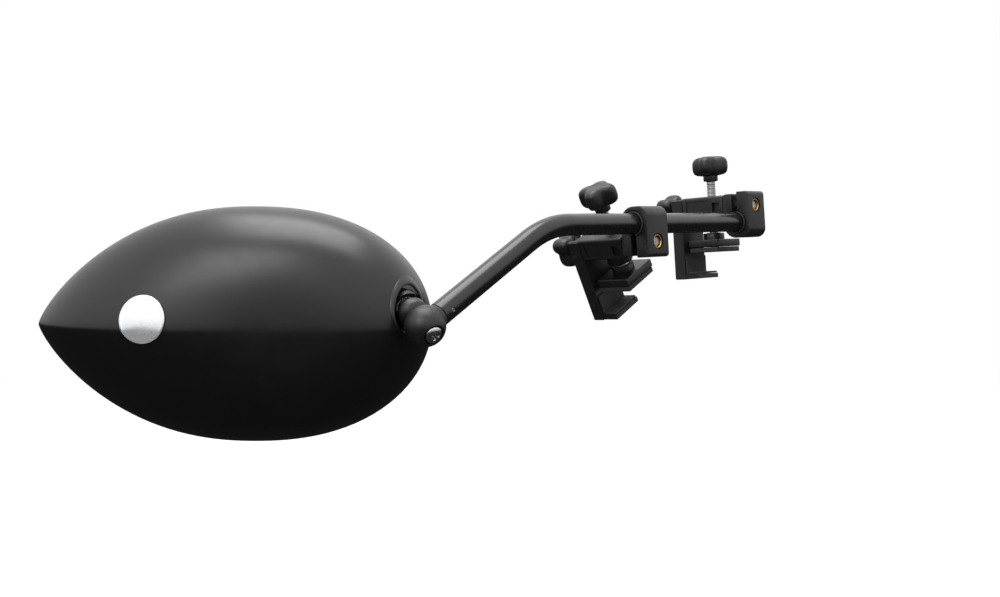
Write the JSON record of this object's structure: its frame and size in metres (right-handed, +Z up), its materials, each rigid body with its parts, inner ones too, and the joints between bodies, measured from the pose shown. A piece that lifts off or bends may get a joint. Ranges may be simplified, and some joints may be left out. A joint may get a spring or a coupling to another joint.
{
  "type": "towing mirror",
  "caption": "Clip-on towing mirror: a convex leaf-shaped head on a ball joint, carried by a bent round arm in screw clamps that grip a door mirror.",
  "frame": {"origin": "bearing face of the inner clamp's hook rubber", "axes": "+X along the straight part of the arm towards the car, +Y to the rear of the car, +Z up"},
  "size_m": [0.5554, 0.2379, 0.2029],
  "materials": {
    "moulded_plastic": "satin black moulded nylon",
    "shell_plastic": "satin black shell",
    "tube_paint": "black powder paint, half gloss",
    "rubber": "matt black rubber",
    "nylon": "natural nylon",
    "zinc": "zinc plated steel",
    "brass": "bright brass",
    "stainless": "polished stainless steel",
    "badge": "blank pearl white disc",
    "mirror": "convex mirror glass"
  },
  "bodies": {
    "inner_frame": {"inner_clamp_body": "moulded_plastic", "inner_hook_plate": "moulded_plastic", "inner_hook_rubber": "rubber", "inner_plate_screw_1": "zinc", "inner_plate_screw_2": "zinc", "inner_press_insert": "brass"},
    "inner_collar_part": {"inner_collar": "moulded_plastic", "inner_brass_insert": "brass"},
    "inner_liner_part": {"inner_grip_liner": "rubber"},
    "inner_washer_part": {"inner_bolt_washer": "zinc"},
    "inner_knob_part": {"inner_clamp_bolt": "zinc", "inner_clamp_knob": "moulded_plastic"},
    "inner_ball_part": {"inner_swivel_ball": "nylon"},
    "inner_press_part": {"inner_press_screw": "zinc", "inner_press_knob": "moulded_plastic"},
    "inner_clip_part": {"inner_ball_clip": "zinc"},
    "inner_pad_part": {"inner_pad_holder": "moulded_plastic", "inner_pad_rubber": "rubber"},
    "outer_frame": {"outer_clamp_body": "moulded_plastic", "outer_hook_plate": "moulded_plastic", "outer_hook_rubber": "rubber", "outer_plate_screw_1": "zinc", "outer_plate_screw_2": "zinc", "outer_press_insert": "brass"},
    "outer_collar_part": {"outer_collar": "moulded_plastic", "outer_brass_insert": "brass"},
    "outer_liner_part": {"outer_grip_liner": "rubber"},
    "outer_washer_part": {"outer_bolt_washer": "zinc"},
    "outer_knob_part": {"outer_clamp_bolt": "zinc", "outer_clamp_knob": "moulded_plastic"},
    "outer_ball_part": {"outer_swivel_ball": "nylon"},
    "outer_press_part": {"outer_press_screw": "zinc", "outer_press_knob": "moulded_plastic"},
    "outer_clip_part": {"outer_ball_clip": "zinc"},
    "outer_pad_part": {"outer_pad_holder": "moulded_plastic", "outer_pad_rubber": "rubber"},
    "arm": {"arm_tube": "tube_paint", "arm_end_plug": "moulded_plastic", "arm_end_cap": "moulded_plastic", "end_cap_pin": "stainless"},
    "knuckle": {"ball_stud": "moulded_plastic", "pivot_screw": "stainless", "friction_washer": "nylon"},
    "seat": {"ball_seat": "nylon"},
    "head": {"head_shell": "shell_plastic", "badge_disc": "badge", "mirror_glass": "mirror", "glass_carrier": "moulded_plastic", "glass_gasket": "rubber", "socket_cup": "moulded_plastic", "socket_retainer": "moulded_plastic"}
  },
  "joints": [
    {"name": "inner_knob_travel", "type": "slide", "parent": "inner_frame", "child": "inner_washer_part", "axis": [0, 0.9976, -0.0698], "range_m": [0, 0.004]},
    {"name": "inner_knob_turn", "type": "hinge", "parent": "inner_washer_part", "child": "inner_knob_part", "pos_m": [-0.004, 0.01971, 0.04674], "axis": [0, 0.9976, -0.0698], "range_deg": [0, 1153]},
    {"name": "inner_press_travel", "type": "slide", "parent": "inner_frame", "child": "inner_ball_part", "axis": [0, 0.0698, 0.9976], "range_m": [-0.0104, 0]},
    {"name": "inner_press_turn", "type": "hinge", "parent": "inner_ball_part", "child": "inner_press_part", "pos_m": [0.006, -0.01132, 0.06896], "axis": [0, 0.0698, 0.9976], "range_deg": [-3000, 0]},
    {"name": "inner_pad_roll", "type": "hinge", "parent": "inner_ball_part", "child": "inner_clip_part", "pos_m": [0.006, -0.01446, 0.02407], "axis": [0, 0.9976, -0.0698], "range_deg": [-7, 7]},
    {"name": "inner_pad_nod", "type": "hinge", "parent": "inner_clip_part", "child": "inner_pad_part", "pos_m": [0.006, -0.01446, 0.02407], "axis": [1, 0, 0], "range_deg": [-7, 7]},
    {"name": "outer_knob_travel", "type": "slide", "parent": "outer_frame", "child": "outer_washer_part", "axis": [0, 0.9976, -0.0698], "range_m": [0, 0.004]},
    {"name": "outer_knob_turn", "type": "hinge", "parent": "outer_washer_part", "child": "outer_knob_part", "pos_m": [-0.15, 0.01771, 0.01821], "axis": [0, 0.9976, -0.0698], "range_deg": [0, 1153]},
    {"name": "outer_press_travel", "type": "slide", "parent": "outer_frame", "child": "outer_ball_part", "axis": [-0.4226, 0.0632, 0.9041], "range_m": [-0.0104, 0]},
    {"name": "outer_press_turn", "type": "hinge", "parent": "outer_ball_part", "child": "outer_press_part", "pos_m": [-0.14939, -0.01315, 0.04277], "axis": [-0.4226, 0.0632, 0.9041], "range_deg": [-3000, 0]},
    {"name": "outer_pad_roll", "type": "hinge", "parent": "outer_ball_part", "child": "outer_clip_part", "pos_m": [-0.13037, -0.01599, 0.00209], "axis": [0, 0.9976, -0.0698], "range_deg": [-7, 7]},
    {"name": "outer_pad_nod", "type": "hinge", "parent": "outer_clip_part", "child": "outer_pad_part", "pos_m": [-0.13037, -0.01599, 0.00209], "axis": [0.9063, 0.0295, 0.4216], "range_deg": [-7, 7]},
    {"name": "inner_swing", "type": "hinge", "parent": "inner_frame", "child": "inner_collar_part", "pos_m": [-0.004, -0.05012, 0.05162], "axis": [0, 0.9976, -0.0698], "range_deg": [-25, 25]},
    {"name": "inner_roll", "type": "hinge", "parent": "inner_collar_part", "child": "inner_liner_part", "pos_m": [-0.004, -0.05112, 0.03736], "axis": [1, 0, 0], "range_deg": [-25, 25]},
    {"name": "arm_slide", "type": "slide", "parent": "inner_liner_part", "child": "arm", "axis": [1, 0, 0], "range_m": [-0.008, 0.035]},
    {"name": "outer_clamp_slide", "type": "slide", "parent": "arm", "child": "outer_liner_part", "axis": [1, 0, 0], "range_m": [-0.05, 0.02]},
    {"name": "outer_roll", "type": "hinge", "parent": "outer_liner_part", "child": "outer_collar_part", "pos_m": [-0.15, -0.05112, 0.03736], "axis": [1, 0, 0], "range_deg": [-25, 25]},
    {"name": "outer_swing", "type": "hinge", "parent": "outer_collar_part", "child": "outer_frame", "pos_m": [-0.15, -0.05212, 0.02309], "axis": [0, 0.9976, -0.0698], "range_deg": [-15, 30]},
    {"name": "knuckle_turn", "type": "hinge", "parent": "arm", "child": "knuckle", "pos_m": [-0.3807, -0.05112, -0.02523], "axis": [0.1602, 0.8859, 0.4354], "range_deg": [-20, 20]},
    {"name": "head_turn", "type": "hinge", "parent": "knuckle", "child": "seat", "pos_m": [-0.37578, -0.02392, -0.01186], "axis": [-0.0775, -0.4285, 0.9002], "range_deg": [-6, 6]},
    {"name": "head_tilt", "type": "hinge", "parent": "seat", "child": "head", "pos_m": [-0.37578, -0.02392, -0.01186], "axis": [0.984, -0.1779, 0], "range_deg": [-6, 6]}
  ],
  "couplings": [
    {"joint": "inner_knob_turn", "follows": "inner_knob_travel", "rad_per_m": 5026.5},
    {"joint": "inner_press_turn", "follows": "inner_press_travel", "rad_per_m": 5026.5},
    {"joint": "outer_knob_turn", "follows": "outer_knob_travel", "rad_per_m": 5026.5},
    {"joint": "outer_press_turn", "follows": "outer_press_travel", "rad_per_m": 5026.5}
  ]
}
